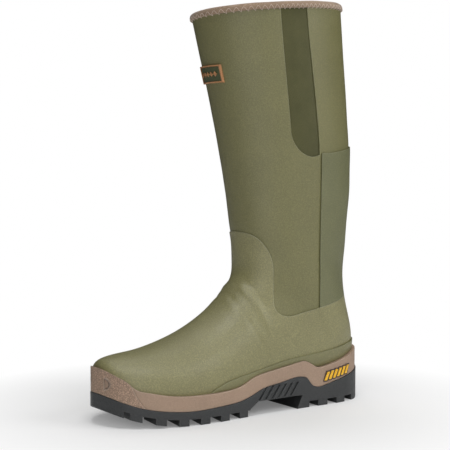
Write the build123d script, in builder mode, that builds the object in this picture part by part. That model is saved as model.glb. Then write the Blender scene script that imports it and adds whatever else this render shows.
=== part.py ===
from build123d import *
from math import atan2, copysign, cos, hypot, pi, radians, sin
import os

# Insulated pull-on rubber boot, wearer's left. +X points to the toe, +Y to the wearer's left
# (the outer side) and +Z up. The origin is on the ground under the middle of the boot.

# ---------------------------------------------------------------- driving dimensions, mm
RUBBER = 2.4            # shaft and foot shell
NEOPRENE = 4.5          # insulating bootee
KNIT = 0.8              # knitted lining
RAISED = 1.2            # each raised rubber layer
GLUE_LINE = 0.3         # gap between bonded layers
PUFF = 1.2              # toe puff and heel stiffener
LUG_DEPTH = 6.0
RIM_MIDDLE = (-46.0, 399.5)     # x, z of the middle of the shaft's cut top edge
RIM_TILT = 4.6                  # degrees, the top edge drops towards the front
RIM_LEAN = 3.0                  # degrees, and rises towards the outer side
BINDING_LEG = 5.5               # height of the folded tape on the outside and the inside
SIDE = 90.0                     # half width that side outlines are extruded to
ACROSS = 120.0                  # wider than the boot
BELOW = -20.0                   # lower than the ground

# Cross sections of the rubber shell's outer surface, from the toe back and up to the rim:
# top or front point (x, z), bottom or back point (x, z), outer and inner half width,
# where along the section it is widest, roundness of its front and of its back (2 is round)
SECTIONS = [
    ((146, 54.5), (146, 29), 13, 12.5, 0.45, 2.0, 2.4),
    ((141, 59.5), (141, 24), 23, 22.5, 0.44, 2.05, 2.6),
    ((133, 61.5), (133, 19.5), 31.5, 31, 0.42, 2.1, 2.8),
    ((120, 63), (120, 17), 39.5, 39, 0.40, 2.2, 3.1),
    ((102, 65), (101, 15.5), 46, 43, 0.38, 2.2, 3.3),
    ((80, 70), (77, 15), 49.5, 45, 0.36, 2.15, 3.5),
    ((57, 78.5), (51, 15.5), 49, 44, 0.34, 2.1, 3.6),
    ((35.5, 89.5), (25, 17), 46.5, 42, 0.34, 2.1, 3.6),
    ((17.5, 102.5), (-2, 19.5), 43.5, 39, 0.36, 2.1, 3.6),
    ((2.5, 117.5), (-35, 23), 41, 38, 0.40, 2.1, 3.4),
    ((-9.5, 133.5), (-80, 26.5), 40, 38, 0.45, 2.1, 3.2),
    ((-10.5, 152.5), (-130, 30), 40, 39, 0.50, 2.1, 2.7),
    ((-9.5, 169), (-145.5, 57), 41, 40, 0.52, 2.1, 2.3),
    ((-7, 184), (-138, 95), 42, 41, 0.52, 2.1, 2.2),
    ((-5, 198.5), (-134, 132), 43, 42, 0.52, 2.1, 2.1),
    ((-2.5, 215.5), (-137.5, 171), 44.5, 43.5, 0.51, 2.1, 2.1),
    ((2, 241), (-141.5, 215), 47, 46, 0.50, 2.1, 2.1),
    ((8.5, 275.5), (-141, 261.5), 50.5, 49.5, 0.50, 2.1, 2.1),
    ((17.5, 316), (-136.5, 312), 53, 52, 0.50, 2.1, 2.1),
    ((27, 354), (-131.5, 360), 55.5, 54.5, 0.50, 2.1, 2.1),
    ((38, 400), (-126, 418), 58.5, 57.5, 0.50, 2.1, 2.1),
    ((46, 436), (-123, 459), 61, 60, 0.50, 2.1, 2.1),       # above the cut edge
]
SECTION_POINTS = 16
SHAFT_SECTION = 14      # from this section up, one more lies midway between each two
TOE_SLIDE = (1.0, 0.75, 0.45, 0.2)      # how far the sections at the toe move back with each layer's depth

# Plan outline of the tan band, anticlockwise from the toe tip round the outer side
SOLE_OUTLINE = [
    (150.5, -2), (147, 14.5), (140.5, 27.5), (128, 39.5), (105, 49.5), (75, 54), (45, 53.5),
    (10, 48.5), (-30, 45.5), (-70, 42), (-110, 40), (-138, 29), (-151, 0), (-138, -29),
    (-110, -39), (-70, -40.5), (-30, -43), (10, -45), (45, -49.5), (75, -50.5), (102, -47.5),
    (120, -42), (133, -34), (142, -23.8), (147.5, -13),
]
OUTSOLE_LIP = 1.0       # the outsole stands out past the band
BUMPER_LIP = 0.7        # and so does the toe bumper
WALL = 5.0              # thickness of the outsole's and the band's rim wall

# Side outlines: (x, z) points from the toe to the heel
GROUND_LINE = [(160, 25), (138, 10.5), (118, 4.8), (96, 1.3), (76, 0)]     # toe spring, then flat
HEEL_BEVEL = [(-136, 0), (-160, 7)]
BAND_BOTTOM = [
    (160, 34.5), (150, 30), (138, 24.3), (119, 18), (95, 14.3), (72, 13), (45, 14.2), (17, 16.3),
    (2, 20.7), (-9, 25), (-30, 28.3), (-60, 31.3), (-66, 29.5), (-72, 22.8), (-79, 19.2),
    (-92, 20.5), (-125, 27.5), (-160, 34.5),
]
BAND_TOP = [
    (160, 56), (149, 54), (143, 49.5), (136, 44.5), (132, 40.5), (128, 36.8), (118, 33.5),
    (100, 29.8), (80, 27.8), (55, 27.4), (30, 28.3), (14, 31.5), (2, 36.8), (-10, 39.7), (-34, 43),
    (-56, 46.3), (-64, 46.8), (-72, 43.5), (-80, 39.2), (-92, 39.5), (-120, 45.8), (-160, 55),
]
FOXING_TOP = [
    (56, 26), (48, 30.5), (38, 34.5), (24, 38.2), (4, 41.3), (-12, 44.2), (-43, 49.5), (-81, 53.3),
    (-120, 58.5), (-160, 65),
]
FOXING_END = (60, 22)           # where the foxing strip runs out under the band
FLOOR_LINE = [(160, 31), (140, 21), (120, 15), (100, 12), (75, 10.8), (30, 11), (0, 13.8),
              (-30, 17), (-60, 18.8), (-100, 20), (-160, 21)]
SHELL_BOTTOM = [(160, 38), (141, 24), (120, 17), (101, 15.5), (77, 15), (51, 15.5), (25, 17),
                (-2, 19.5), (-35, 23), (-80, 26.5), (-130, 29), (-160, 31)]
TOE_SEAM = [(135, 56), (130.5, 37.3), (126.6, 28.5), (121.7, 20.4), (114, 10)]
GALOSH_TOP = [(40, 186), (-4, 178.5), (-12, 175.5), (-20, 168.5), (-26, 159.5), (-30, 150),
              (-31.5, 140), (-30.5, 118), (-29.5, 106)]
GALOSH_STEP = [(-29.5, 106), (-33, 97.5), (-41, 93.5), (-59, 95), (-81, 99.3), (-110, 105.5), (-160, 114)]
STAY_FRONT = [(-83, 80), (-82, 158), (-80.5, 209), (-78.5, 256)]
STAY_TOP = [(-78.5, 256), (-90, 256), (-104, 257.7), (-130, 262), (-160, 267)]
GUSSET_FRONT = [(-20, 425), (-24.5, 384), (-34, 324), (-41, 279)]
GUSSET_CORNER = [(-41, 279), (-46, 265), (-56, 255.5), (-76.5, 254)]
GUSSET_BACK = [(-76.5, 254), (-72, 288), (-66.5, 321), (-60, 356), (-51, 425)]
ARCH = [(13, -5), (7, 7), (-3, 13.5), (-50, 13.5), (-60, 13), (-50.5, -5)]     # opening under the waist

# Tread
LUG_PITCH = 22.9
LUG_WIDTH = 10.3
LUGS = 6
HEEL_LUGS = 2
FIRST_LUG = 13.0        # x of the rearmost forefoot lug
HEEL_LUG_PITCH = 24.3
FIRST_HEEL_LUG = -86.5
BREAST_BAR = (-69.0, -40.0)     # x of the bar along the heel's front edge
TOE_BAR = 137.5                 # the tread is solid in front of this x
RIB_PITCH = 8.0         # grooves across the waist's side walls
RIB_COUNT = 8
RIB_GROOVE = 3.2
RIB_LEAN = 10.0
LUG_LENGTH = 42.0
LUG_PLACE = 36.0                # y of the middle of a side lug
LUG_SKEW = 10.0                 # degrees that a side lug turns forwards towards the middle
CENTRE_LUG = 8.5                # radius of the six-sided lugs between them
HEEL_LUG_WIDTH = 11.8
HEEL_BAR = -148.1               # x of the middle of the bar at the back of the heel
END_BAR = 40.0                  # width of the toe's and the heel's end bars before trimming
LUG_OVERLAP = 0.5               # lugs run this far into the plate above them
RIB_DEPTH = 0.6

# Small parts
BADGE_CENTRE = (-1.5, 333.0)    # y, z on the front of the shaft
BADGE = (38.0, 17.0)
BADGE_BAR = 1.3
BADGE_RISE = 0.6        # height of the frame and the lozenges over the badge's field
LOZENGES, LOZENGE, LOZENGE_PITCH = 5, 3.4, 5.6      # count, side, spacing
TAG_START = (-92.0, 29.0)       # x, z of the heel mark's front end
TAG_RISE = 0.155                # slope of the heel mark
TAG_BARS = 6
TAG_BAR = (3.2, 8.5)            # width and height of one bar
TAG_PITCH = 5.6
TAG_EDGE = 1.1                  # width of the dark edge, its glue line included
TAG_PROUD, TAG_EDGE_PROUD = 1.3, 0.9    # how far the bars and their edge reach past the band
SHELL_JOINT = 88.0              # z where the foot's and the shaft's sheets meet, under the galosh
STITCHES = 68
THREAD = 0.4                    # radius
THREAD_LIFT = 0.3               # gap between the thread and the tape
THREAD_SHARE = 0.78             # share of each slanted run that its straight thread covers
STITCH_TOP, STITCH_FOOT = 2.0, 4.8      # depth of the zigzag's points below the cut edge
RING_STEPS = 60                 # points per edge when the tape's outside is measured
SHANK = (-98.0, 12.0, 28.0, 1.6)    # x from, x to, width, thickness
SHANK_PLAY = 0.4
BOARD = 2.0
BOARD_GAP = 0.4                 # below the shell's bottom
BOARD_END = 137.0               # x
FILLER_END = 115.0              # x
CORE_GAP = 0.5                  # between the sole's rim wall and what it encloses
FOOTBED = 5.5
COVER = 0.9
CUSHION = (-102.0, 15.0, 38.9, 1.6)     # x, radius, bottom z, thickness

# Depth of each surface inside the rubber shell's outside
RAISED_OUT = -(GLUE_LINE + RAISED)
SECOND_IN = RAISED_OUT - GLUE_LINE
SECOND_OUT = SECOND_IN - RAISED
GUSSET_OUT = 0.8
BADGE_OUT = SECOND_IN - BADGE_RISE
NEOPRENE_OUT = RUBBER + GLUE_LINE
PUFF_IN = NEOPRENE_OUT + PUFF
NEOPRENE_IN = NEOPRENE_OUT + NEOPRENE
KNIT_OUT = NEOPRENE_IN + GLUE_LINE
KNIT_IN = KNIT_OUT + KNIT
FOOT_SPACE = KNIT_IN + GLUE_LINE


# ---------------------------------------------------------------- shared shapes
def section_plane(front, back):
    """Plane of a cross section: local x to the wearer's left, local y from back to front."""
    length = hypot(front[0] - back[0], front[1] - back[1])
    along = ((front[0] - back[0]) / length, (front[1] - back[1]) / length)
    return Plane(origin=(back[0], 0, back[1]), x_dir=(0, 1, 0), z_dir=(along[1], 0, -along[0]))


def outline_point(section, turn):
    """Point of a cross section's outline in its own plane; turn 0 faces the outer side."""
    front, back, outer, inner, widest, front_round, back_round = section
    length = hypot(front[0] - back[0], front[1] - back[1])
    across, along = cos(turn), sin(turn)
    power = 2 / (front_round if along >= 0 else back_round)
    half = outer if across >= 0 else inner
    reach = length * (1 - widest if along >= 0 else widest)
    return (half * copysign(abs(across) ** power, across),
            length * widest + reach * copysign(abs(along) ** power, along))


def section_point(section, turn, inset):
    """The same point moved in square to the outline by `inset`."""
    here = outline_point(section, turn)
    before, after = outline_point(section, turn - 0.05), outline_point(section, turn + 0.05)
    run = (after[0] - before[0], after[1] - before[1])
    size = hypot(*run)
    return (here[0] - inset * run[1] / size, here[1] + inset * run[0] / size)


def halfway(before, after):
    """Cross section midway between two others."""
    front, back = [
        ((before[end][0] + after[end][0]) / 2, (before[end][1] + after[end][1]) / 2) for end in (0, 1)]
    return (front, back, *[(low + high) / 2 for low, high in zip(before[2:], after[2:])])


cross_sections = SECTIONS[:SHAFT_SECTION + 1]
for below, above in zip(SECTIONS[SHAFT_SECTION:], SECTIONS[SHAFT_SECTION + 1:]):
    cross_sections += [halfway(below, above), above]


def upper_body(inset, first=0):
    """Solid foot and shaft, or its part above section `first`, `inset` inside the shell's outside."""
    steps = [number / SECTION_POINTS for number in range(SECTION_POINTS + 1)]
    rings = []
    for number, section in enumerate(cross_sections[first:], first):
        slide = inset * TOE_SLIDE[number] if number < len(TOE_SLIDE) else 0
        front, back = (section[0][0] - slide, section[0][1]), (section[1][0] - slide, section[1][1])
        turns = [2 * pi * step - pi / 2 for step in steps[:-1]]     # from the back round the outer side
        points = [section_point(section, turn, inset) for turn in turns]
        ring = Edge.make_spline(points, periodic=True, parameters=steps)
        # four edges, back to outer side to front to inner side, keep the sections aligned
        quarters = [ring.trim(quarter / 4, (quarter + 1) / 4) for quarter in range(4)]
        rings.append(section_plane(front, back).location * Wire(quarters))
    with BuildPart() as body:
        add(Solid.make_loft(rings))
    return body.part


def side_region(*edges):
    """Prism across the boot whose side view is the closed outline that the edges give."""
    with BuildPart() as region:
        with BuildSketch(Plane.XZ):
            with BuildLine():
                add(edges)
            make_face()
        extrude(amount=SIDE, both=True)
    return region.part


def side_curve(points):
    return Edge.make_spline([Vector(*point) for point in points])


def side_line(*points):
    return Wire.make_polygon([Vector(*point) for point in points], close=False)


def gusset_prism(gap):
    """Outline of the stretch panel in the outer side of the shaft, `gap` smaller all round."""
    front = [(x - gap, z) for x, z in GUSSET_FRONT]
    back = [(x + gap, z) for x, z in GUSSET_BACK]
    back[0] = (back[0][0], back[0][1] + gap)
    corner = [front[-1]] + [(x, z + gap) for x, z in GUSSET_CORNER[1:-1]] + [back[0]]
    with BuildPart() as prism:
        with BuildSketch(Plane.XZ):
            with BuildLine():
                Spline(*front)
                Spline(*corner)
                Spline(*back)
                Line(back[-1], front[0])
            make_face()
        extrude(amount=-SIDE)
    return prism.part


def under(line, lift=0.0):
    """Everything below a side line that runs from the toe to the heel."""
    raised = [(x, z + lift) for x, z in line]
    start, end = raised[0], raised[-1]
    return side_region(side_curve(raised), side_line(end, (end[0], BELOW), (start[0], BELOW), start))


def under_ground(lift):
    """Everything below the walking surface raised by `lift`: toe spring, flat sole, heel bevel."""
    toe = [(x, z + lift) for x, z in GROUND_LINE]
    flat_end, heel_end = [(x, z + lift) for x, z in HEEL_BEVEL]
    return side_region(
        side_curve(toe),
        side_line(toe[-1], flat_end, heel_end, (heel_end[0], BELOW), (toe[0][0], BELOW), toe[0]))


def sole_prism(grow):
    """The sole's plan outline, grown by `grow`, as a tall prism."""
    points = []
    for number, (x, y) in enumerate(SOLE_OUTLINE):
        before, after = SOLE_OUTLINE[number - 1], SOLE_OUTLINE[(number + 1) % len(SOLE_OUTLINE)]
        run = (after[0] - before[0], after[1] - before[1])
        size = hypot(*run)
        points.append((x + grow * run[1] / size, y - grow * run[0] / size))
    with BuildPart() as prism:
        with BuildSketch():
            with BuildLine():
                Spline(*points, periodic=True)
            make_face()
        extrude(amount=SIDE)
    return prism.part


def write(piece, name):
    piece.part.label = name
    export_step(piece.part, f"parts/{name}.step")


rim_normal = (sin(radians(RIM_TILT)), -sin(radians(RIM_LEAN)), cos(radians(RIM_TILT)))
RIM = Plane(origin=(RIM_MIDDLE[0], 0, RIM_MIDDLE[1]), z_dir=rim_normal)

shell_outside = upper_body(0)
shell_clear = upper_body(-GLUE_LINE)
raised_outside = upper_body(RAISED_OUT)
second_inside = upper_body(SECOND_IN)
foot_space = upper_body(FOOT_SPACE)

sole_outline = sole_prism(0)
under_band_top = under(BAND_TOP)
under_band = under(BAND_BOTTOM, GLUE_LINE)
above_floor = sole_prism(-WALL) - under(FLOOR_LINE)
pocket = above_floor & under(SHELL_BOTTOM, 1)     # holds the filler and the board
in_front_of_seam = side_region(
    side_curve(TOE_SEAM), side_line(TOE_SEAM[-1], (160, TOE_SEAM[-1][1]), (160, TOE_SEAM[0][1]), TOE_SEAM[0]))
galosh_region = side_region(
    side_curve(GALOSH_TOP), side_curve(GALOSH_STEP),
    side_line(GALOSH_STEP[-1], (-160, -20), (160, -20), (160, GALOSH_TOP[0][1]), GALOSH_TOP[0]))
gusset_window = gusset_prism(0)

os.makedirs("parts", exist_ok=True)

# ---------------------------------------------------------------- outsole
under_tread = under_ground(0)
under_lugs = under_ground(LUG_DEPTH)
lug_layer = under_ground(LUG_DEPTH + LUG_OVERLAP)
plate = under(BAND_BOTTOM) - under_lugs
outsole_outline = sole_prism(OUTSOLE_LIP)
arch = side_region(side_line(*ARCH, ARCH[0]))
rib_foot, rib_head = ARCH[2][1] + 1, BAND_BOTTOM[10][1] - 1
groove_bars = []
for rib in range(RIB_COUNT - 2):
    x = -2 - RIB_PITCH * rib
    groove_bars.append(side_region(side_line(
        (x, rib_foot), (x - RIB_GROOVE, rib_foot), (x - RIB_GROOVE - RIB_LEAN, rib_head),
        (x - RIB_LEAN, rib_head), (x, rib_foot))))
grooves = [bar - sole_prism(-RIB_DEPTH) for bar in groove_bars]

with BuildPart() as outsole:
    with BuildSketch():     # tread pattern, cut to the outline below
        for outer_side in (1, -1):
            with Locations([(FIRST_LUG + LUG_PITCH * lug, outer_side * LUG_PLACE) for lug in range(LUGS)]):
                Rectangle(LUG_WIDTH, LUG_LENGTH, rotation=-outer_side * LUG_SKEW)
        with Locations([(FIRST_LUG + LUG_PITCH * (bar + 0.5), 0) for bar in range(LUGS)]):
            RegularPolygon(CENTRE_LUG, 6)
        with Locations([(FIRST_HEEL_LUG - HEEL_LUG_PITCH * lug, 0) for lug in range(HEEL_LUGS)]):
            Rectangle(HEEL_LUG_WIDTH, ACROSS)
        with Locations((BREAST_BAR[0] / 2 + BREAST_BAR[1] / 2, 0)):
            Rectangle(BREAST_BAR[1] - BREAST_BAR[0], ACROSS)
        with Locations((TOE_BAR + END_BAR / 2, 0), (HEEL_BAR, 0)):
            Rectangle(END_BAR, ACROSS)
    extrude(amount=SIDE)
    add(lug_layer, mode=Mode.INTERSECT)
    add(plate)
    add(under_tread, mode=Mode.SUBTRACT)
    add(arch, mode=Mode.SUBTRACT)
    add(outsole_outline, mode=Mode.INTERSECT)
    add(second_inside, mode=Mode.SUBTRACT)
    add(pocket, mode=Mode.SUBTRACT)
    add(grooves, mode=Mode.SUBTRACT)
write(outsole, "outsole")

# ---------------------------------------------------------------- bands round the sole
with BuildPart() as midsole_band:
    add(sole_outline)
    add(under_band_top, mode=Mode.INTERSECT)
    add(under_band, mode=Mode.SUBTRACT)
    add(second_inside, mode=Mode.SUBTRACT)
    add(pocket, mode=Mode.SUBTRACT)
    add(in_front_of_seam, mode=Mode.SUBTRACT)
write(midsole_band, "midsole_band")

bumper_outline = sole_prism(BUMPER_LIP)
bumper_region = in_front_of_seam.moved(Location((GLUE_LINE, 0, 0)))
with BuildPart() as toe_bumper:
    add(bumper_outline)
    add(under_band_top, mode=Mode.INTERSECT)
    add(under_band, mode=Mode.SUBTRACT)
    add(second_inside, mode=Mode.SUBTRACT)
    add(pocket, mode=Mode.SUBTRACT)
    add(bumper_region, mode=Mode.INTERSECT)
write(toe_bumper, "toe_bumper")

# A row of plain slanted bars on the outer side of the heel, with a dark edge round each
tag_runs = [TAG_PITCH * bar for bar in range(TAG_BARS)]
tag_bars = [(TAG_START[0] - run, TAG_START[1] + TAG_RISE * run) for run in tag_runs]
tag_lean = (2.0, TAG_BAR[1] / 2)


def tag_prism(grow):
    """Upright slanted bars as prisms towards the outer side, each grown by `grow`."""
    with BuildPart() as prism:
        with BuildSketch(Plane.XZ):
            for x, z in tag_bars:
                with BuildLine():
                    half = TAG_BAR[0] / 2 + grow
                    lean, rise = tag_lean[0], tag_lean[1] + grow
                    Polyline((x - half + lean, z - rise), (x + half + lean, z - rise),
                             (x + half - lean, z + rise), (x - half - lean, z + rise), close=True)
                make_face()
        extrude(amount=-SIDE)
    return prism.part


tag_faces = tag_prism(0)
tag_clear = tag_prism(GLUE_LINE)
tag_surround = tag_prism(TAG_EDGE)
tag_outer = sole_prism(TAG_PROUD)
tag_edge_outer = sole_prism(TAG_EDGE_PROUD)
band_clear = sole_prism(GLUE_LINE)
with BuildPart() as heel_tag:
    add(tag_faces)
    add(tag_outer, mode=Mode.INTERSECT)
    add(band_clear, mode=Mode.SUBTRACT)
write(heel_tag, "heel_tag")

with BuildPart() as heel_tag_edge:
    add(tag_surround)
    add(tag_edge_outer, mode=Mode.INTERSECT)
    add(band_clear, mode=Mode.SUBTRACT)
    add(tag_clear, mode=Mode.SUBTRACT)
write(heel_tag_edge, "heel_tag_edge")

# ---------------------------------------------------------------- inside the sole unit
shank_start, shank_end, shank_width, shank_thickness = SHANK
shank_middle = ((shank_start + shank_end) / 2, 0, 20)
board_top = under(SHELL_BOTTOM, -BOARD_GAP)
board_bottom = under(SHELL_BOTTOM, -BOARD_GAP - BOARD)
under_board = under(SHELL_BOTTOM, -BOARD_GAP - BOARD - GLUE_LINE)
shank_bottom = under(SHELL_BOTTOM, -BOARD_GAP - BOARD - GLUE_LINE - shank_thickness)
filler_bottom = under(FLOOR_LINE, GLUE_LINE)
core_outline = sole_prism(-WALL - CORE_GAP)

with BuildPart() as insole_board:
    add(core_outline)
    add(board_top, mode=Mode.INTERSECT)
    add(board_bottom, mode=Mode.SUBTRACT)
    with Locations((BOARD_END, 0, 0)):
        Box(ACROSS, ACROSS, ACROSS, align=(Align.MIN, Align.CENTER, Align.CENTER), mode=Mode.SUBTRACT)
write(insole_board, "insole_board")

with BuildPart() as shank:
    with Locations(shank_middle):
        Box(shank_end - shank_start, shank_width, 40)
    fillet(shank.edges().filter_by(Axis.Z), shank_width / 2 - 1)
    add(under_board, mode=Mode.INTERSECT)
    add(shank_bottom, mode=Mode.SUBTRACT)
write(shank, "shank")

with BuildPart() as sole_filler:
    add(core_outline)
    add(under_board, mode=Mode.INTERSECT)
    add(filler_bottom, mode=Mode.SUBTRACT)
    with Locations((FILLER_END, 0, 0)):
        Box(ACROSS, ACROSS, ACROSS, align=(Align.MIN, Align.CENTER, Align.CENTER), mode=Mode.SUBTRACT)
    with Locations(shank_middle):
        Box(shank_end - shank_start + SHANK_PLAY, shank_width + SHANK_PLAY, 40, mode=Mode.SUBTRACT)
write(sole_filler, "sole_filler")

footbed_top = under(SHELL_BOTTOM, FOOT_SPACE + FOOTBED)
cover_bottom = under(SHELL_BOTTOM, FOOT_SPACE + FOOTBED + GLUE_LINE)
cover_top = under(SHELL_BOTTOM, FOOT_SPACE + FOOTBED + GLUE_LINE + COVER)
footbed_block = foot_space & cover_top

with BuildPart() as footbed_cover:
    add(footbed_block)
    add(cover_bottom, mode=Mode.SUBTRACT)
write(footbed_cover, "footbed_cover")

cushion_x, cushion_radius, cushion_bottom, cushion_thickness = CUSHION
with BuildPart() as heel_cushion:
    with BuildSketch(Plane.XY.offset(cushion_bottom)):
        with Locations((cushion_x, 0)):
            Circle(cushion_radius)
    extrude(amount=cushion_thickness)
write(heel_cushion, "heel_cushion")

with BuildPart() as footbed:
    add(footbed_block)
    add(footbed_top, mode=Mode.INTERSECT)
    with BuildSketch(Plane.XY.offset(cushion_bottom - GLUE_LINE)):
        with Locations((cushion_x, 0)):
            Circle(cushion_radius + GLUE_LINE)
    extrude(amount=cushion_thickness + 2 * GLUE_LINE, mode=Mode.SUBTRACT)
write(footbed, "footbed")

# ---------------------------------------------------------------- upper, from the outside in
first_layer = raised_outside - shell_clear
second_layer = upper_body(SECOND_OUT) - second_inside
galosh_bottom = under(SHELL_BOTTOM, 4)
band_bottom_edge = under(BAND_BOTTOM, 1)

with BuildPart() as galosh:
    add(first_layer)
    add(galosh_region, mode=Mode.INTERSECT)
    add(galosh_bottom, mode=Mode.SUBTRACT)
    add(band_bottom_edge, mode=Mode.SUBTRACT)
write(galosh, "galosh")

stay_region = side_region(
    side_curve(STAY_FRONT), side_curve(STAY_TOP), side_line(STAY_TOP[-1], (-160, 80), STAY_FRONT[0]))
stay_region -= galosh_region.moved(Location((0, 0, GLUE_LINE)))
with BuildPart() as back_stay:
    add(first_layer)
    add(stay_region, mode=Mode.INTERSECT)
write(back_stay, "back_stay")

foxing_region = side_region(
    side_curve(FOXING_TOP),
    side_line(FOXING_TOP[-1], (-160, 20), (FOXING_END[0], 20), FOXING_END, FOXING_TOP[0]))
foxing_region -= under(BAND_TOP, GLUE_LINE)
with BuildPart() as foxing_strip:
    add(second_layer)
    add(foxing_region, mode=Mode.INTERSECT)
write(foxing_strip, "foxing_strip")

with BuildPart() as rubber_shell:
    add(shell_outside)
    add(gusset_window, mode=Mode.SUBTRACT)
    add(upper_body(RUBBER), mode=Mode.SUBTRACT)
    split(bisect_by=RIM, keep=Keep.BOTTOM)

shell_joint = Plane.XY.offset(SHELL_JOINT)
with BuildPart() as shaft_shell:
    add(rubber_shell.part)
    split(bisect_by=shell_joint, keep=Keep.TOP)
write(shaft_shell, "shaft_shell")

with BuildPart() as foot_shell:
    add(rubber_shell.part)
    split(bisect_by=shell_joint, keep=Keep.BOTTOM)
write(foot_shell, "foot_shell")

toe_box = side_region(side_line((104, 80), (92, 26), (160, 26), (160, 80), (104, 80)))
heel_box = side_region(side_line((-90, 36), (-112, 96), (-160, 100), (-160, 36), (-90, 36)))
stiff_parts = toe_box + heel_box
stiffener_space = (upper_body(RUBBER) - upper_body(PUFF_IN + GLUE_LINE)) & stiff_parts
neoprene_outside = upper_body(NEOPRENE_OUT)
stiffener_layer = neoprene_outside - upper_body(PUFF_IN)

with BuildPart() as toe_puff:
    add(stiffener_layer)
    add(toe_box, mode=Mode.INTERSECT)
write(toe_puff, "toe_puff")

with BuildPart() as heel_stiffener:
    add(stiffener_layer)
    add(heel_box, mode=Mode.INTERSECT)
write(heel_stiffener, "heel_stiffener")

gusset_fill = gusset_prism(GLUE_LINE)
neoprene_inside = upper_body(NEOPRENE_IN)
with BuildPart() as neoprene_lining:
    add(neoprene_outside)
    add(neoprene_inside, mode=Mode.SUBTRACT)
    add(stiffener_space, mode=Mode.SUBTRACT)
    add(gusset_window, mode=Mode.SUBTRACT)
    split(bisect_by=RIM, keep=Keep.BOTTOM)
write(neoprene_lining, "neoprene_lining")

with BuildPart() as gusset_panel:
    add(upper_body(GUSSET_OUT))
    add(gusset_fill, mode=Mode.INTERSECT)
    add(neoprene_inside, mode=Mode.SUBTRACT)
    split(bisect_by=RIM, keep=Keep.BOTTOM)
write(gusset_panel, "gusset_panel")

with BuildPart() as fabric_lining:
    add(upper_body(KNIT_OUT))
    add(upper_body(KNIT_IN), mode=Mode.SUBTRACT)
    split(bisect_by=RIM, keep=Keep.BOTTOM)
write(fabric_lining, "fabric_lining")

# ---------------------------------------------------------------- collar
collar_foot = RIM.offset(-BINDING_LEG)
collar_crown = RIM.offset(GLUE_LINE + RAISED)


def collar_slice(inset, top, first=0):
    """The shaft's solid between the foot of the tape and the plane `top`."""
    with BuildPart() as piece:
        add(upper_body(inset, first))
        split(bisect_by=collar_foot, keep=Keep.TOP)
        split(bisect_by=top, keep=Keep.BOTTOM)
    return piece.part


wall_top = RIM.offset(GLUE_LINE)
binding_outside = collar_slice(RAISED_OUT, collar_crown)
binding_inside = collar_slice(FOOT_SPACE + RAISED, collar_crown, SHAFT_SECTION)
wall_outside = collar_slice(-GLUE_LINE, wall_top)
wall_inside = collar_slice(FOOT_SPACE, wall_top)
with BuildPart() as collar_binding:
    add(binding_outside)
    add(binding_inside, mode=Mode.SUBTRACT)
    add(wall_outside - wall_inside, mode=Mode.SUBTRACT)
write(collar_binding, "collar_binding")


def collar_ring(depth):
    """Angle and radius of points round the tape's outside, `depth` below the cut edge."""
    level = RIM.offset(-depth)
    cut = binding_outside.split(level, keep=Keep.BOTTOM)
    flat_faces = cut.faces().filter_by(GeomType.PLANE)
    edges = flat_faces.sort_by(Axis((0, 0, 0), RIM.z_dir))[-1].outer_wire().edges()
    shares = [step / RING_STEPS for step in range(RING_STEPS)]
    points = [RIM.to_local_coords(edge @ share) for edge in edges for share in shares]
    return sorted((atan2(point.Y, point.X), hypot(point.X, point.Y)) for point in points)


def ring_radius(ring, angle):
    """Radius of a ring at an angle between two of its points."""
    whole = [(ring[-1][0] - 2 * pi, ring[-1][1])] + ring + [(ring[0][0] + 2 * pi, ring[0][1])]
    for (before, near), (after, far) in zip(whole, whole[1:]):
        if before <= angle < after:
            return near + (far - near) * (angle - before) / (after - before)
    return ring[0][1]


rings = {depth: collar_ring(depth) for depth in (STITCH_TOP, STITCH_FOOT)}
zigzag = []
for stitch in range(STITCHES):
    for part_turn, depth in ((0, STITCH_TOP), (0.5, STITCH_FOOT)):
        angle = 2 * pi * (stitch + part_turn) / STITCHES - pi
        radius = ring_radius(rings[depth], angle) + THREAD + THREAD_LIFT
        zigzag.append(RIM.from_local_coords(Vector(radius * cos(angle), radius * sin(angle), -depth)))
threads = []
for start, end in zip(zigzag, zigzag[1:] + zigzag[:1]):
    run = end - start
    lie = Plane(origin=start + run * (1 - THREAD_SHARE) / 2, z_dir=run)
    threads.append(Solid.make_cylinder(THREAD, run.length * THREAD_SHARE, lie))
with BuildPart() as collar_stitch:
    add(threads)
write(collar_stitch, "collar_stitch")

# ---------------------------------------------------------------- badge on the front of the shaft
def badge_prism(width, height):
    with BuildPart() as prism:
        with BuildSketch(Plane.YZ):
            with Locations(BADGE_CENTRE):
                Rectangle(width, height)
        extrude(amount=SIDE)
    return prism.part


badge_block = badge_prism(*BADGE)
badge_well = badge_prism(BADGE[0] - 2 * BADGE_BAR, BADGE[1] - 2 * BADGE_BAR)
shaft_clear = upper_body(-GLUE_LINE, SHAFT_SECTION)
badge_layer = upper_body(RAISED_OUT, SHAFT_SECTION) - shaft_clear
mark_layer = upper_body(BADGE_OUT, SHAFT_SECTION) - upper_body(SECOND_IN, SHAFT_SECTION)
badge_field = badge_prism(BADGE[0] - 2 * BADGE_BAR - 2 * GLUE_LINE, BADGE[1] - 2 * BADGE_BAR - 2 * GLUE_LINE)
with BuildPart() as badge_frame:
    add(upper_body(BADGE_OUT, SHAFT_SECTION))
    add(badge_block, mode=Mode.INTERSECT)
    add(shaft_clear, mode=Mode.SUBTRACT)
    add(badge_well, mode=Mode.SUBTRACT)
write(badge_frame, "badge_frame")

with BuildPart() as badge_base:
    add(badge_layer)
    add(badge_field, mode=Mode.INTERSECT)
write(badge_base, "badge_base")

with BuildPart() as badge_mark:
    with BuildSketch(Plane.YZ):
        with Locations(BADGE_CENTRE):
            with GridLocations(LOZENGE_PITCH, 0, LOZENGES, 1):
                Rectangle(LOZENGE, LOZENGE, rotation=45)
    extrude(amount=SIDE)
    add(mark_layer, mode=Mode.INTERSECT)
write(badge_mark, "badge_mark")
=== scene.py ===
import bpy
import numpy as np
from math import atan2, cos, pi, radians, sin
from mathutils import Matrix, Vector
from mathutils.bvhtree import BVHTree


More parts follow.
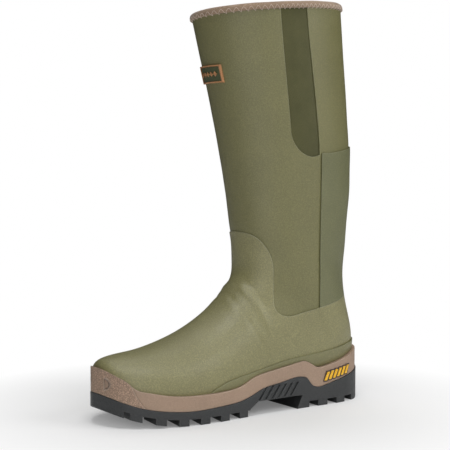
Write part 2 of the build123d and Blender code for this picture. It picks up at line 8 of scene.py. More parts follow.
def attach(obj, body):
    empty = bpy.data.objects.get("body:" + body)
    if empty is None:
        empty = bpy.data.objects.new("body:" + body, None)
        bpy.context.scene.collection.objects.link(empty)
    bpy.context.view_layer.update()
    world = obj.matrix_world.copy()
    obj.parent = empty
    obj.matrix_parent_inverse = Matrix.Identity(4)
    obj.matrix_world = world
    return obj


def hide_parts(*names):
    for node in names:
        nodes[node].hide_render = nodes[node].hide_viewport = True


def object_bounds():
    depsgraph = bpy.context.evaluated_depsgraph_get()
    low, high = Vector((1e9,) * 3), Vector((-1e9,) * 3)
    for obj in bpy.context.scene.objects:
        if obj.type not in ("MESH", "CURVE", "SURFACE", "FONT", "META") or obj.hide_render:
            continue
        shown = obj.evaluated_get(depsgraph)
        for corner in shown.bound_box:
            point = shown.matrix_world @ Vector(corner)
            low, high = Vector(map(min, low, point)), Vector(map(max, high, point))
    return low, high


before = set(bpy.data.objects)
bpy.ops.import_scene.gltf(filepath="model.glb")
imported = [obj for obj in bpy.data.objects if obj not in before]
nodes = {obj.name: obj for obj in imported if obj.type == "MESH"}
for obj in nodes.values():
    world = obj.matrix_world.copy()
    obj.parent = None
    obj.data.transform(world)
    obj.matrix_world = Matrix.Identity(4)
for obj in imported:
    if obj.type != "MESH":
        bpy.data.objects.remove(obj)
cad_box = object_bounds()
MM = 0.001

# Middle line that "outward" is measured from, in mm: the foot's ends and height, the shaft above the ankle
FOOT_BACK, FOOT_FRONT, FOOT_HEIGHT = -110, 120, 48.0
ANKLE_HEIGHT, SHAFT_X = 100, -68.0
WELD = 500  # points closer than 1 / WELD mm are the same point
FLAT_SHARE = 0.97  # an edge is smooth where its normals agree this well
MOST_BOW = 0.25  # most that an edge may bow out, as a share of its length
FACING = 0.25  # a surface is divided finely and moved where its cosine with the outward way is over this
ROUNDS = 7  # rounds of dividing
SHARP = radians(38)

# ---------------------------------------------------------------- meshes grown from the CAD surfaces


def corners(mesh):
    """Welded points, triangles and the surface normal at each triangle's corners, in millimetres."""
    points = np.empty(len(mesh.vertices) * 3)
    mesh.vertices.foreach_get("co", points)
    points = points.reshape(-1, 3) / MM
    loops = np.empty(len(mesh.loops), dtype=np.int64)
    mesh.loops.foreach_get("vertex_index", loops)
    normals = np.empty(len(mesh.loops) * 3)
    mesh.corner_normals.foreach_get("vector", normals)
    _, first, same = np.unique(np.round(points * WELD).astype(np.int64), axis=0,
                               return_index=True, return_inverse=True)
    faces = same.reshape(-1)[loops].reshape(-1, 3)
    normals = normals.reshape(-1, 3, 3)
    whole = (faces[:, 0] != faces[:, 1]) & (faces[:, 1] != faces[:, 2]) & (faces[:, 2] != faces[:, 0])
    return points[first], faces[whole], normals[whole]


def unit(vectors):
    return vectors / np.maximum(np.linalg.norm(vectors, axis=-1, keepdims=True), 1e-9)


def divide(points, faces, normals, limit):
    """One round of splitting edges longer than limit(middle, normal), curved to follow the normals."""
    ends = np.stack([faces, np.roll(faces, -1, axis=1)], axis=-1)
    low, high = ends.min(-1), ends.max(-1)
    pairs, index = np.unique(np.stack([low.ravel(), high.ravel()], 1), axis=0, return_inverse=True)
    index = index.reshape(-1, 3)
    count = np.bincount(index.ravel(), minlength=len(pairs))
    here, there = normals, np.roll(normals, -1, axis=1)
    swap = (ends[..., 0] > ends[..., 1])[..., None]
    at_low, at_high = np.where(swap, there, here), np.where(swap, here, there)
    total_low, total_high = np.zeros((len(pairs), 3)), np.zeros((len(pairs), 3))
    np.add.at(total_low, index.ravel(), at_low.reshape(-1, 3))
    np.add.at(total_high, index.ravel(), at_high.reshape(-1, 3))
    known = np.isfinite(total_low).all(1) & np.isfinite(total_high).all(1)
    agree = FLAT_SHARE * count
    smooth = (known & (count == 2) & (np.linalg.norm(total_low, axis=1) > agree)
              & (np.linalg.norm(total_high, axis=1) > agree))
    a, b = points[pairs[:, 0]], points[pairs[:, 1]]
    na, nb = unit(total_low), unit(total_high)
    bow = ((b - a) * na).sum(1, keepdims=True) * na + ((a - b) * nb).sum(1, keepdims=True) * nb
    length = np.linalg.norm(b - a, axis=1, keepdims=True)
    bowed = np.maximum(np.linalg.norm(bow, axis=1, keepdims=True), 1e-9)
    bow = bow * np.minimum(1, MOST_BOW * length / bowed)
    middle = (a + b) / 2 - np.where(smooth[:, None], bow, 0) / 8
    split = np.linalg.norm(b - a, axis=1) > limit((a + b) / 2, unit(na + nb))
    if not split.any():
        return points, faces, normals, False
    new = np.full(len(pairs), -1)
    new[split] = len(points) + np.arange(split.sum())
    points = np.concatenate([points, middle[split]])
    mids, cuts = new[index], split[index]
    mid_normals = unit(normals + np.roll(normals, -1, axis=1))
    out_f, out_n = [faces[cuts.sum(1) == 0]], [normals[cuts.sum(1) == 0]]

    def emit(rows, turn, shapes):
        f, n = np.roll(faces[rows], -turn, 1), np.roll(normals[rows], -turn, 1)
        m, mn = np.roll(mids[rows], -turn, 1), np.roll(mid_normals[rows], -turn, 1)
        ids, nor = np.concatenate([f, m], 1), np.concatenate([n, mn], 1)
        for shape in shapes:
            out_f.append(ids[:, shape])
            out_n.append(nor[:, shape])

    emit(cuts.sum(1) == 3, 0, ([0, 3, 5], [3, 1, 4], [5, 4, 2], [3, 4, 5]))
    for turn in range(3):
        rolled = np.roll(cuts, -turn, 1)
        emit(rolled[:, 0] & ~rolled[:, 1] & ~rolled[:, 2], turn, ([0, 3, 2], [3, 1, 2]))
        emit(rolled[:, 0] & rolled[:, 1] & ~rolled[:, 2], turn, ([3, 1, 4], [0, 3, 4], [0, 4, 2]))
    return points, np.concatenate(out_f), np.concatenate(out_n), True


def outward(points):
    """Unit direction out from the middle of the foot and the shaft."""
    foot_x = np.clip(points[:, 0], FOOT_BACK, FOOT_FRONT)
    middle = np.stack([foot_x, np.zeros(len(points)), np.full(len(points), FOOT_HEIGHT)], 1)
    high = points[:, 2] > ANKLE_HEIGHT
    middle[high] = np.stack([np.full(high.sum(), SHAFT_X), np.zeros(high.sum()), points[high, 2]], 1)
    return unit(points - middle)


def grow(node, name, fine, coarse, field, inner=False):
    """A new piece from a CAD node's surface, divided finely and moved along its normals by `field`.

    Edges longer than `fine` mm are split on the side that faces out (in, with `inner`), and longer than
    `coarse` mm elsewhere.
    """
    points, faces, normals = corners(nodes[node].data)
    side = -1 if inner else 1

    def limit(middle, normal):
        facing = (normal * outward(middle)).sum(1) * side > FACING
        return np.where(facing, fine, coarse)

    for _ in range(ROUNDS):
        points, faces, normals, more = divide(points, faces, normals, limit)
        if not more:
            break
    out = outward(points) * side
    total = np.zeros((len(points), 3))
    for corner in range(3):
        facing = (normals[:, corner] * out[faces[:, corner]]).sum(1) > FACING
        np.add.at(total, faces[facing, corner], normals[facing, corner])
    moved = field(points) * (np.linalg.norm(total, axis=1) > 0)
    points = points + unit(total) * moved[:, None]
    mesh = bpy.data.meshes.new(name)
    mesh.from_pydata((points * MM).tolist(), [], faces.tolist())
    mesh.validate()
    mesh.shade_smooth()
    mesh.set_sharp_from_angle(angle=SHARP)
    piece = bpy.data.objects.new(name, mesh)
    bpy.context.scene.collection.objects.link(piece)
    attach(piece, "root")
    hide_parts(node)
    return piece


def along(points, line):
    """Distance of each point from a line of points, and how far along that line it lies, 0 to 1."""
    line = np.array(line, dtype=float)
    steps = np.linalg.norm(np.diff(line, axis=0), axis=1)
    starts = np.concatenate([[0], np.cumsum(steps)])
    best, share = np.full(len(points), 1e9), np.zeros(len(points))
    for number, (a, b) in enumerate(zip(line, line[1:])):
        t = np.clip(((points - a) @ (b - a)) / steps[number] ** 2, 0, 1)
        far = np.linalg.norm(points - a - t[:, None] * (b - a), axis=1)
        near = far < best
        best[near] = far[near]
        share[near] = ((starts[number] + t * steps[number]) / starts[-1])[near]
    return best, share


def waves(points, size, seed):
    """Smooth unevenness, mostly between -1 and 1, with waves about `size` mm long. The same on every run."""
    rng = np.random.default_rng(seed)
    total = np.zeros(len(points))
    for _ in range(7):
        direction = unit(rng.normal(size=(1, 3)))[0]
        pitch = size * rng.uniform(0.7, 1.5)
        total += np.sin(points @ direction * (2 * pi / pitch) + rng.uniform(0, 2 * pi))
    return total / 4


# Folds moulded and pressed into the foot, in mm: line of points, height, half width; then taper at its ends
FOLDS = [
    ([(-4.5, 7.8, 125), (-7, 21, 116.5), (-11, 28, 108.6), (-15.7, 33.8, 98), (-19, 36.5, 90),
      (-25, 39, 72)], 1.5, 4.2, 0.18),
    ([(-10, 9, 129), (-13, 22, 120), (-18, 30, 110), (-23, 35.5, 98)], -0.7, 5.0, 0.2),
    ([(2, -6, 116.6), (4.7, 13.3, 111), (2.2, 26.5, 100), (-1.3, 34, 89), (-6.5, 38.5, 77.5),
      (-14.6, 40.8, 64), (-20, 41, 49)], -1.15, 2.6, 0.1),
    ([(9, 13, 108), (8, 27, 97), (3, 35, 85), (-2, 39, 74)], 0.5, 5.0, 0.25),
    ([(-8, 31, 99), (-8.6, 35.4, 88.7), (-13, 39, 74)], -0.5, 2.0, 0.3),
    ([(-82, 40.7, 102.5), (-77.7, 41, 92.5), (-67.6, 41, 79.5), (-64.4, 41, 65.8)], -0.55, 5.0, 0.2),
    ([(-82, 40.7, 104), (-87, 40.5, 95), (-95, 39, 78), (-102.5, 37, 62.7)], 0.9, 3.0, 0.15),
    ([(-80, 41, 96), (-84, 40.7, 84), (-86, 40, 70)], -0.5, 4.0, 0.25),
    ([(-83, 41, 104), (-86, 41, 110), (-97, 39, 122.5), (-106, 36, 138)], 0.6, 2.6, 0.2),
]
DEEPEST_FOLD = -1.15
INNER_SIDE_SHARE = 0.75  # the folds are shallower on the wearer's inner side


def folds(points):
    """Height of the folds at each point, on both sides of the foot, with a little unevenness."""
    height = np.zeros(len(points))
    for mirror in (1, -1):
        for line, rise, width, taper in FOLDS:
            far, share = along(points, [(x, y * mirror, z) for x, y, z in line])
            fade = np.clip(np.minimum(share, 1 - share) / taper, 0, 1)
            fade = fade * fade * (3 - 2 * fade)
            height += rise * (1 if mirror > 0 else INNER_SIDE_SHARE) * np.exp(-(far / width) ** 2) * fade
    return np.maximum(height, DEEPEST_FOLD) + 0.16 * waves(points, 55, 4)


galosh = grow("galosh", "galosh_skin", 2.6, 9, folds)
stay = grow("back_stay", "back_stay_skin", 4.5, 12, folds)
lining = grow("fabric_lining", "knit_sock", 9, 25, lambda p: 0.22 * waves(p, 26, 9), inner=True)


# The gusset, in mm: middle line and half width at GUSSET_Z, how fast both change with height, and its crown
GUSSET_X, GUSSET_Z, GUSSET_HALF = -57, 255, 17
GUSSET_LEAN, GUSSET_SPREAD = 0.135, 0.02
GUSSET_CROWN, GUSSET_SUNK = 0.75, -0.35


def crowned(points):
    """The stretch panel stands up a little between its seams."""
    above = points[:, 2] - GUSSET_Z
    centre = GUSSET_X + above * GUSSET_LEAN
    half = GUSSET_HALF + above * GUSSET_SPREAD
    share = np.clip(1 - np.abs(points[:, 0] - centre) / half, 0, 1)
    return GUSSET_CROWN * np.sqrt(share) + GUSSET_SUNK + 0.06 * waves(points, 12, 3)


gusset = grow("gusset_panel", "gusset_fabric", 2.6, 10, crowned)
footbed_top = grow("footbed_cover", "footbed_top", 6, 20, lambda p: -0.1 + 0.1 * waves(p, 40, 6))
footbed_foam = grow("footbed", "footbed_foam", 9, 25, lambda p: -0.1 + 0.1 * waves(p, 30, 7))
heel_pad = grow("heel_cushion", "heel_pad", 3, 6, lambda p: -0.05 + 0.05 * waves(p, 12, 8))
bootee_foam = grow("neoprene_lining", "bootee_foam", 12, 30, lambda p: -0.05 + 0.05 * waves(p, 40, 5))

# ---------------------------------------------------------------- collar tape and its zigzag thread
RIM_MIDDLE = Vector((-46, 0, 399.5)) * MM
RIM_TILT_FORWARD, RIM_TILT_SIDE = radians(4.6), radians(3)
RIM_W = Vector((sin(RIM_TILT_FORWARD), -sin(RIM_TILT_SIDE), cos(RIM_TILT_FORWARD))).normalized()
RIM_V = RIM_W.cross(Vector((1, 0, 0))).normalized()
RIM_U = RIM_V.cross(RIM_W)


def tree(*names):
    """One ray-casting tree over several CAD nodes."""
    points, faces = [], []
    for name in names:
        mesh = nodes[name].data
        base = len(points)
        points += [vertex.co.copy() for vertex in mesh.vertices]
        faces += [[base + index for index in face.vertices] for face in mesh.polygons]
    return BVHTree.FromPolygons(points, faces)


tape_tree = tree("collar_binding")
wall_tree = tree("shaft_shell", "gusset_panel")
RAY_START = 0.2  # m from the middle, well outside the shaft


def radius(surface, angle, height, inside=False):
    """Distance of a surface from the shaft's middle at an angle, `height` mm above the cut edge."""
    way = RIM_U * cos(angle) + RIM_V * sin(angle)
    middle = RIM_MIDDLE + RIM_W * height * MM
    start, aim = (middle, way) if inside else (middle + way * RAY_START, -way)
    hit = surface.ray_cast(start, aim)[0]
    return (hit - middle).length / MM if hit else None


def rim_point(angle, reach, height):
    """The point `reach` mm out from the rim's middle at an angle, `height` mm above the cut edge."""
    way = RIM_U * cos(angle) + RIM_V * sin(angle)
    return RIM_MIDDLE + (way * reach + RIM_W * height) * MM


STITCHES = 68
ROUND = STITCHES * 6
TAPE_LEVEL = -3.0  # height at which the CAD tape is measured
OUT_IF_MISSED, IN_IF_MISSED, WALL_IF_MISSED = 70, 60, 68
PINCH, PINCH_FOOT, PINCH_TOP = 0.18, -5.4, -1.8  # the thread draws the tape in, from foot to top
tape_out = [radius(tape_tree, 2 * pi * step / ROUND, TAPE_LEVEL) or OUT_IF_MISSED for step in range(ROUND)]
tape_in = [radius(tape_tree, 2 * pi * step / ROUND, TAPE_LEVEL, inside=True) or IN_IF_MISSED
           for step in range(ROUND)]
# outer face from its foot up, the fold, and the inner face down: share across, height, push out
PROFILE = [
    (0.0, -5.5, -1.15), (0.0, -5.55, -0.5), (0.0, -5.3, -0.05), (0.0, -4.7, 0.25), (0.0, -3.7, 0.4),
    (0.0, -2.5, 0.42), (0.0, -1.2, 0.3), (0.03, 0.0, 0.0), (0.14, 1.0, 0.0), (0.32, 1.45, 0.0),
    (0.5, 1.6, 0.0), (0.68, 1.45, 0.0), (0.86, 1.0, 0.0), (0.97, 0.0, 0.0), (1.0, -1.2, -0.15),
    (1.0, -2.8, -0.2), (1.0, -4.4, -0.1), (1.0, -5.2, 0.0), (1.0, -5.5, 0.4), (1.0, -5.5, 1.1),
]
rings = []
for step in range(ROUND):
    angle = 2 * pi * step / ROUND
    pinch = 0.5 + 0.5 * cos(STITCHES * angle)
    wobble = 0.12 * sin(3 * angle + 1) + 0.08 * sin(11 * angle)
    for share, height, push in PROFILE:
        reach = tape_out[step] + (tape_in[step] - tape_out[step]) * share + push
        if share == 0.0 and PINCH_FOOT < height < PINCH_TOP:
            reach -= PINCH * pinch
        rings.append(rim_point(angle, reach, height + (wobble if height > -4.5 else wobble * 0.5)))
wide = len(PROFILE)
quads = []
for step in range(ROUND):
    after = (step + 1) % ROUND
    for k in range(wide):
        beside = (k + 1) % wide
        quads.append((step * wide + k, after * wide + k, after * wide + beside, step * wide + beside))
mesh = bpy.data.meshes.new("collar_tape")
mesh.from_pydata([tuple(point) for point in rings], [], quads)
mesh.shade_smooth()
tape = bpy.data.objects.new("collar_tape", mesh)
bpy.context.scene.collection.objects.link(tape)
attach(tape, "root")
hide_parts("collar_binding")

THREAD_RADIUS, THREAD_ON_TAPE = 0.27, 0.1  # mm; the second is the thread's height over the tape
# one stitch, over the tape's foot and up again: part of a stitch, height, lift, on the wall below the tape
ZIGZAG = [
    (0.0, -2.0, 0.0, False), (0.1, -2.4, 0.5, False), (0.36, -4.9, 0.42, False), (0.45, -6.0, 0.35, True),
    (0.5, -6.3, 0.0, True), (0.55, -6.0, 0.35, True), (0.64, -4.9, 0.42, False), (0.9, -2.4, 0.5, False),
]
line = bpy.data.curves.new("collar_thread", "CURVE")
line.dimensions = "3D"
line.bevel_depth = THREAD_RADIUS * MM
line.bevel_resolution = 2
path = []
for stitch in range(STITCHES):
    for part, height, lift, on_wall in ZIGZAG:
        angle = 2 * pi * (stitch + part) / STITCHES
        if on_wall:
            reach = radius(wall_tree, angle, height) or WALL_IF_MISSED
        else:
            reach = tape_out[int(angle / (2 * pi) * ROUND) % ROUND] + THREAD_ON_TAPE
        path.append(rim_point(angle, reach + lift, height))
spline = line.splines.new("POLY")
spline.points.add(len(path) - 1)
for point, place in zip(spline.points, path):
    point.co = (*place, 1)
spline.use_cyclic_u = True
drawn = bpy.data.objects.new("thread_line", line)
bpy.context.scene.collection.objects.link(drawn)
thread_mesh = bpy.data.meshes.new_from_object(drawn.evaluated_get(bpy.context.evaluated_depsgraph_get()))
thread_mesh.shade_smooth()
bpy.data.objects.remove(drawn)
thread = bpy.data.objects.new("collar_thread", thread_mesh)
bpy.context.scene.collection.objects.link(thread)
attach(thread, "root")
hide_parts("collar_stitch")

# ---------------------------------------------------------------- materials


def srgb(red, green, blue):
    """Linear colour from 0-255 values."""
    def lin(value):
        value /= 255
        return value / 12.92 if value <= 0.04045 else ((value + 0.055) / 1.055) ** 2.4
    return (lin(red), lin(green), lin(blue), 1)


def shade(colour, factor):
    """The same colour, darker or lighter."""
    return tuple(min(1, value * factor) for value in colour[:3]) + (1,)


class Maker:
    """Small helper that adds and links shader nodes."""

    def __init__(self, name):
        self.material = bpy.data.materials.new(name)
        self.material.use_nodes = True
        self.tree = self.material.node_tree
        self.tree.nodes.clear()
        self.out = self.add("ShaderNodeOutputMaterial")
        self.shader = self.add("ShaderNodeBsdfPrincipled")
        self.link(self.shader.outputs[0], self.out.inputs[0])
        self.place = self.add("ShaderNodeTexCoord").outputs["Object"]

    def add(self, kind, **settings):
        node = self.tree.nodes.new(kind)
        for key, value in settings.items():
            setattr(node, key, value)
        return node

    def link(self, source, target):
        self.tree.links.new(source, target)

    def noise(self, scale, detail=3.0, rough=0.55, stretch=None):
        node = self.add("ShaderNodeTexNoise")
        node.inputs["Scale"].default_value = scale
        node.inputs["Detail"].default_value = detail
        node.inputs["Roughness"].default_value = rough
        place = self.place
        if stretch:
            mapping = self.add("ShaderNodeMapping")
            mapping.inputs["Scale"].default_value = stretch
            self.link(place, mapping.inputs[0])
            place = mapping.outputs[0]
        self.link(place, node.inputs["Vector"])
        return node.outputs[0]

    def ramp(self, source, low, high, dark=0.0, light=1.0):
        node = self.add("ShaderNodeMapRange")
        for socket, value in zip((1, 2, 3, 4), (low, high, dark, light)):
            node.inputs[socket].default_value = value
        self.link(source, node.inputs[0])
        return node.outputs[0]

    def blend(self, share, first, second):
        node = self.add("ShaderNodeMix", data_type="RGBA")
        if isinstance(share, float):
            node.inputs[0].default_value = share
        else:
            self.link(share, node.inputs[0])
        for socket, value in ((6, first), (7, second)):
            if isinstance(value, tuple):
                node.inputs[socket].default_value = value
            else:
                self.link(value, node.inputs[socket])
        return node.outputs[2]

    def math(self, operation, first, second=None):
        node = self.add("ShaderNodeMath", operation=operation)
        for socket, value in ((0, first), (1, second)):
            if value is None:
                continue
            if isinstance(value, (int, float)):
                node.inputs[socket].default_value = value
            else:
                self.link(value, node.inputs[socket])
        return node.outputs[0]

    def bump(self, source, depth, under=None):
        node = self.add("ShaderNodeBump")
        node.inputs["Strength"].default_value = 1.0
        node.inputs["Distance"].default_value = depth
        self.link(source, node.inputs["Height"])
        if under is not None:
            self.link(under, node.inputs["Normal"])
        return node.outputs[0]

    def edges(self, width):
        """Rounded normal for edges, and a mask that is 1 along them."""
        soft = self.add("ShaderNodeBevel", samples=6)
        soft.inputs["Radius"].default_value = width
        flat = self.add("ShaderNodeNewGeometry")
        dot = self.add("ShaderNodeVectorMath", operation="DOT_PRODUCT")
        self.link(soft.outputs[0], dot.inputs[0])
        self.link(flat.outputs["Normal"], dot.inputs[1])
        return soft.outputs[0], self.ramp(dot.outputs["Value"], 0.99, 0.86)


def rubber(name, colour, edge, speckle=0.10, rough=0.44, grain=0.00006, edge_width=0.0011, edge_share=0.8,
           fine=950):
    """Moulded rubber: mottled, finely grained, and painted paler along its edges as a highlight."""
    m = Maker(name)
    dark = shade(colour, 0.80)
    light = shade(colour, 1.14)
    mottle = m.ramp(m.noise(22, 3), 0.32, 0.68)
    base = m.blend(mottle, dark, light)
    base = m.blend(0.62, base, colour)
    dots = m.noise(fine, 2, 0.7)
    pale = shade(colour, 1 + 4 * speckle)
    base = m.blend(m.ramp(dots, 0.51, 0.62, 0, min(1, speckle * 5)), base, pale)
    base = m.blend(m.ramp(dots, 0.49, 0.38, 0, min(1, speckle * 5)), base, dark)
    normal, edge_mask = m.edges(edge_width)
    # painted highlight: the paler edge colour is mixed in along the edges, where the bevel mask is 1, broken
    # up by noise
    painted_edge_highlight = m.math("MULTIPLY", edge_mask, m.ramp(m.noise(160, 2), 0.3, 0.6, 0.45 * edge_share, edge_share))
    m.link(m.blend(painted_edge_highlight, base, edge), m.shader.inputs["Base Color"])
    m.link(m.ramp(m.noise(60, 4), 0.3, 0.7, rough - 0.05, rough + 0.07), m.shader.inputs["Roughness"])
    lumps = m.bump(m.noise(190, 4, 0.65), grain * 7, under=normal)
    m.link(m.bump(m.noise(800, 4, 0.75), grain * 4.5, under=lumps), m.shader.inputs["Normal"])
    m.shader.inputs["Specular IOR Level"].default_value = 0.7
    return m


FIBRE_STRETCH = (1, 1, 0.25)  # loose fibres run up and down


def woven(name, colour, thread, rib, depth=0.00018, rough=0.85, sheen=0.35):
    """Knitted or woven cloth: fine ribs, loose fibres and a soft sheen."""
    m = Maker(name)
    ribs = m.add("ShaderNodeTexWave", wave_type="BANDS", bands_direction="DIAGONAL")
    ribs.inputs["Scale"].default_value = rib
    ribs.inputs["Distortion"].default_value = 2.2
    ribs.inputs["Detail"].default_value = 2
    ribs.inputs["Detail Scale"].default_value = 1.5
    m.link(m.place, ribs.inputs["Vector"])
    fuzz = m.noise(2600, 3, 0.7, stretch=FIBRE_STRETCH)
    weave = m.math("ADD", m.math("MULTIPLY", ribs.outputs[1], 0.6), m.math("MULTIPLY", fuzz, 0.7))
    base = m.blend(m.ramp(weave, 0.35, 0.95), colour, thread)
    base = m.blend(m.ramp(m.noise(45, 3), 0.3, 0.7, 0, 0.35), base, shade(colour, 0.7))
    m.link(base, m.shader.inputs["Base Color"])
    m.link(m.ramp(fuzz, 0.3, 0.7, rough - 0.08, rough + 0.08), m.shader.inputs["Roughness"])
    m.link(m.bump(weave, depth), m.shader.inputs["Normal"])
    m.shader.inputs["Sheen Weight"].default_value = sheen
    m.shader.inputs["Sheen Roughness"].default_value = 0.5
    m.shader.inputs["Specular IOR Level"].default_value = 0.2
    return m


# each rubber's second colour is painted along its edges as a highlight
shaft_green = rubber("rubber_green_shaft", srgb(119, 116, 75), srgb(160, 160, 128))
galosh_green = rubber("rubber_green_foot", srgb(136, 132, 92), srgb(176, 175, 146), speckle=0.12,
                      rough=0.42)
stay_green = rubber("rubber_green_stay", srgb(112, 113, 78), srgb(154, 156, 126))
# The galosh shows through a thin spot of the toe bumper, so what lies under the bumper is tan. This hides a
# fault of the CAD bumper and doesn't mend it.
UNDER_BUMPER_X, UNDER_BUMPER_Z = 0.141, 0.0475
BUMPER_TAN = srgb(157, 131, 111)
spot = galosh_green.add("ShaderNodeSeparateXYZ")
galosh_green.link(galosh_green.place, spot.inputs[0])
under_bumper = galosh_green.math(
    "MULTIPLY", galosh_green.math("GREATER_THAN", spot.outputs[0], UNDER_BUMPER_X),
    galosh_green.math("LESS_THAN", spot.outputs[2], UNDER_BUMPER_Z))
green_source = galosh_green.shader.inputs["Base Color"].links[0].from_socket
galosh_green.link(galosh_green.blend(under_bumper, green_source, BUMPER_TAN),
                  galosh_green.shader.inputs["Base Color"])
foxing_green = rubber("rubber_green_foxing", srgb(126, 123, 84), srgb(160, 161, 128))
tan = rubber("rubber_tan", srgb(166, 140, 119), srgb(214, 194, 176), speckle=0.07, rough=0.55,
             edge_share=0.75)
bumper = rubber("rubber_tan_toe", BUMPER_TAN, srgb(206, 186, 168), speckle=0.2, rough=0.6, fine=1000,
                grain=0.00012, edge_share=0.7)
black = rubber("rubber_black", srgb(44, 46, 47), srgb(92, 95, 95), speckle=0.1, rough=0.5, grain=0.00008,
               edge_width=0.0009, edge_share=0.5)
yellow = rubber("rubber_yellow", srgb(255, 190, 20), srgb(255, 225, 90), speckle=0.05, rough=0.4,
                edge_width=0.0004)
dark_edge = rubber("rubber_dark_edge", srgb(62, 48, 50), srgb(88, 72, 70), speckle=0.06, edge_width=0.0003)
copper = rubber("badge_copper", srgb(190, 132, 84), srgb(230, 186, 140), speckle=0.09, rough=0.42,
                edge_width=0.0005)
field = rubber("badge_field", srgb(72, 80, 44), srgb(112, 112, 74), speckle=0.08, edge_width=0.0004)
stretch = woven("cloth_stretch", srgb(74, 74, 46), srgb(102, 100, 66), rib=420, sheen=0.15)
tape_cloth = woven("cloth_tape", srgb(148, 124, 102), srgb(176, 152, 130), rib=520, sheen=0.3)
knit = woven("cloth_knit", srgb(70, 66, 52), srgb(112, 106, 84), rib=260, depth=0.0004)
cover_cloth = woven("cloth_footbed", srgb(48, 48, 44), srgb(80, 80, 72), rib=320, depth=0.0003)
thread_fibre = woven("thread_fibre", srgb(196, 176, 158), srgb(222, 204, 188), rib=1400, depth=0.00008,
                     rough=0.6)
foam = rubber("foam_neoprene", srgb(52, 52, 50), srgb(70, 70, 68), speckle=0.2, rough=0.9, grain=0.0002,
              fine=1200)
cushion_foam = rubber("foam_pale", srgb(196, 188, 160), srgb(214, 208, 186), speckle=0.15, rough=0.9,
                      grain=0.0002)
board_fibre = rubber("fibre_board", srgb(150, 120, 84), srgb(176, 148, 112), speckle=0.2, rough=0.9, fine=900)
stiff_fibre = rubber("fibre_stiffener", srgb(204, 196, 178), srgb(222, 216, 200), speckle=0.15, rough=0.85,
                     fine=900)
steel = rubber("steel_shank", srgb(150, 152, 154), srgb(200, 202, 204), speckle=0.05, rough=0.32,
               grain=0.00002)
steel.shader.inputs["Metallic"].default_value = 0.9


def dress(piece, made):
    """Give a piece its material."""
    data = piece.data
    data.materials.clear()
    data.materials.append(made.material)


for piece, made, slot in (
        (galosh, galosh_green, "green_rubber"), (stay, stay_green, "green_rubber"),
        (gusset, stretch, "stretch_fabric"), (lining, knit, "knit_lining"),
        (tape, tape_cloth, "binding_tape"), (thread, thread_fibre, "stitch_thread"),
        (footbed_top, cover_cloth, "footbed_fabric"), (footbed_foam, cushion_foam, "foam"),
        (heel_pad, cushion_foam, "foam"), (bootee_foam, foam, "neoprene")):
    dress(piece, made)
for name, made in (
        ("shaft_shell", shaft_green), ("foot_shell", shaft_green), ("foxing_strip", foxing_green),
        ("midsole_band", tan), ("toe_bumper", bumper),
        ("outsole", black), ("heel_tag", yellow), ("heel_tag_edge", dark_edge), ("badge_frame", copper),
        ("badge_mark", copper), ("badge_base", field), ("sole_filler", foam), ("insole_board", board_fibre),
        ("toe_puff", stiff_fibre), ("heel_stiffener", stiff_fibre), ("shank", steel)):
    dress(nodes[name], made)

# ---------------------------------------------------------------- floor, light, camera
FLOOR_GLOW = 0.05
FLOOR_HALF, FLOOR_GAP = 6, 0.0002
GLOW_FROM, GLOW_TO = 0.3, 0.9  # m from the middle, where the floor's glow fades out
WHITE_FROM, WHITE_TO = 0.1, 0.32  # where the floor that the camera sees fades to white
WHITE_LEAST = 0.1
floor_mesh = bpy.data.meshes.new("floor")
floor_mesh.from_pydata([(-FLOOR_HALF, -FLOOR_HALF, 0), (FLOOR_HALF, -FLOOR_HALF, 0),
                        (FLOOR_HALF, FLOOR_HALF, 0), (-FLOOR_HALF, FLOOR_HALF, 0)], [], [(0, 1, 2, 3)])
floor = bpy.data.objects.new("floor", floor_mesh)
floor.location.z = cad_box[0][2] - FLOOR_GAP
bpy.context.scene.collection.objects.link(floor)
pale = Maker("floor_pale")
pale.link(pale.blend(pale.ramp(pale.noise(3, 2), 0.3, 0.7), (0.9, 0.9, 0.9, 1), (0.93, 0.93, 0.93, 1)),
          pale.shader.inputs["Base Color"])
pale.shader.inputs["Roughness"].default_value = 0.9
pale.shader.inputs["Specular IOR Level"].default_value = 0.1
pale.shader.inputs["Emission Color"].default_value = (1, 1, 1, 1)
bright = pale.add("ShaderNodeEmission")
far = pale.add("ShaderNodeVectorMath", operation="LENGTH")
pale.link(pale.place, far.inputs[0])
pale.link(pale.ramp(far.outputs["Value"], GLOW_FROM, GLOW_TO, FLOOR_GLOW, 0),
          pale.shader.inputs["Emission Strength"])
seen = pale.add("ShaderNodeLightPath").outputs["Is Camera Ray"]
fade = pale.add("ShaderNodeMixShader")
white = pale.ramp(far.outputs["Value"], WHITE_FROM, WHITE_TO, WHITE_LEAST, 1)
pale.link(pale.math("MULTIPLY", white, seen), fade.inputs[0])
pale.link(pale.shader.outputs[0], fade.inputs[1])
pale.link(bright.outputs[0], fade.inputs[2])
pale.link(fade.outputs[0], pale.out.inputs[0])
floor_mesh.materials.append(pale.material)

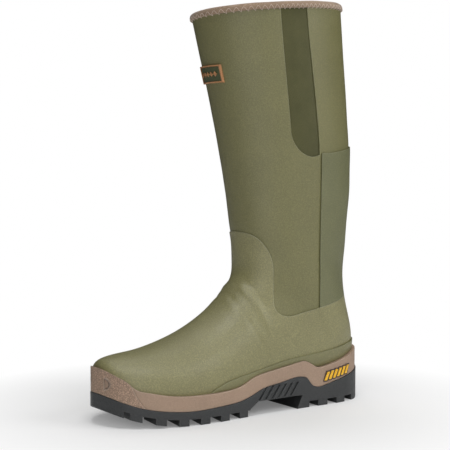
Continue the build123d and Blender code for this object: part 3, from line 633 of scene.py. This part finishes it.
# The camera sees a white backdrop. Every other ray meets a dim sky.
SKY_STRENGTH, BACKDROP_STRENGTH = 0.03, 1.0
world = bpy.data.worlds.new("studio")
bpy.context.scene.world = world
world.use_nodes = True
sky = world.node_tree.nodes["Background"]
sky.inputs[0].default_value = (1, 1, 1, 1)
sky.inputs[1].default_value = SKY_STRENGTH
backdrop = world.node_tree.nodes.new("ShaderNodeBackground")
backdrop.inputs[0].default_value = (1, 1, 1, 1)
backdrop.inputs[1].default_value = BACKDROP_STRENGTH
rays = world.node_tree.nodes.new("ShaderNodeLightPath")
pick = world.node_tree.nodes.new("ShaderNodeMixShader")
links = world.node_tree.links
links.new(rays.outputs["Is Camera Ray"], pick.inputs[0])
links.new(sky.outputs[0], pick.inputs[1])
links.new(backdrop.outputs[0], pick.inputs[2])
links.new(pick.outputs[0], world.node_tree.nodes["World Output"].inputs[0])


BOOT = Vector((-0.02, 0, 0.2))


def softbox(name, place, size, power):
    """A rectangular area light, in metres and watts, aimed at the boot."""
    light = bpy.data.lights.new(name, "AREA")
    light.shape = "RECTANGLE"
    light.size, light.size_y = size
    light.energy = power
    lamp = bpy.data.objects.new(name, light)
    lamp.location = place
    lamp.rotation_euler = (BOOT - Vector(place)).to_track_quat("-Z", "Y").to_euler()
    bpy.context.scene.collection.objects.link(lamp)


# The camera: its angle round from +Y, its distance, sideways shift and height in m, and how far down it looks
VIEW = radians(33)
DISTANCE, SHIFT, HEIGHT = 1.2, -0.004, 0.243
DROP = atan2(0.059, DISTANCE)
to_camera = Vector((sin(VIEW), cos(VIEW), 0))
right = Vector((-cos(VIEW), sin(VIEW), 0))
camera_data = bpy.data.cameras.new("camera")
camera_data.lens = 96
camera_data.sensor_width = 36
camera = bpy.data.objects.new("camera", camera_data)
camera.location = to_camera * DISTANCE + right * SHIFT + Vector((0, 0, HEIGHT))
look = -to_camera * cos(DROP) + Vector((0, 0, -sin(DROP)))
camera.rotation_euler = look.to_track_quat("-Z", "Y").to_euler()
bpy.context.scene.collection.objects.link(camera)

softbox("high", to_camera * 0.7 + Vector((0, 0, 2.1)), (1, 1), 18)
softbox("lens_side", to_camera * 1.5 + Vector((0, 0, 0.6)), (1, 1), 5.6)
softbox("heel_side", (-0.82, 1.06, 0.76), (0.9, 0.7), 3.4)
softbox("heel_high", (-0.91, 1.17, 1.17), (0.9, 0.9), 7)
softbox("behind", to_camera * -0.9 + Vector((0, 0, 1.9)), (1.6, 1), 8)
bpy.context.scene.camera = camera
bpy.context.scene.view_settings.view_transform = "Standard"

bpy.context.view_layer.update()
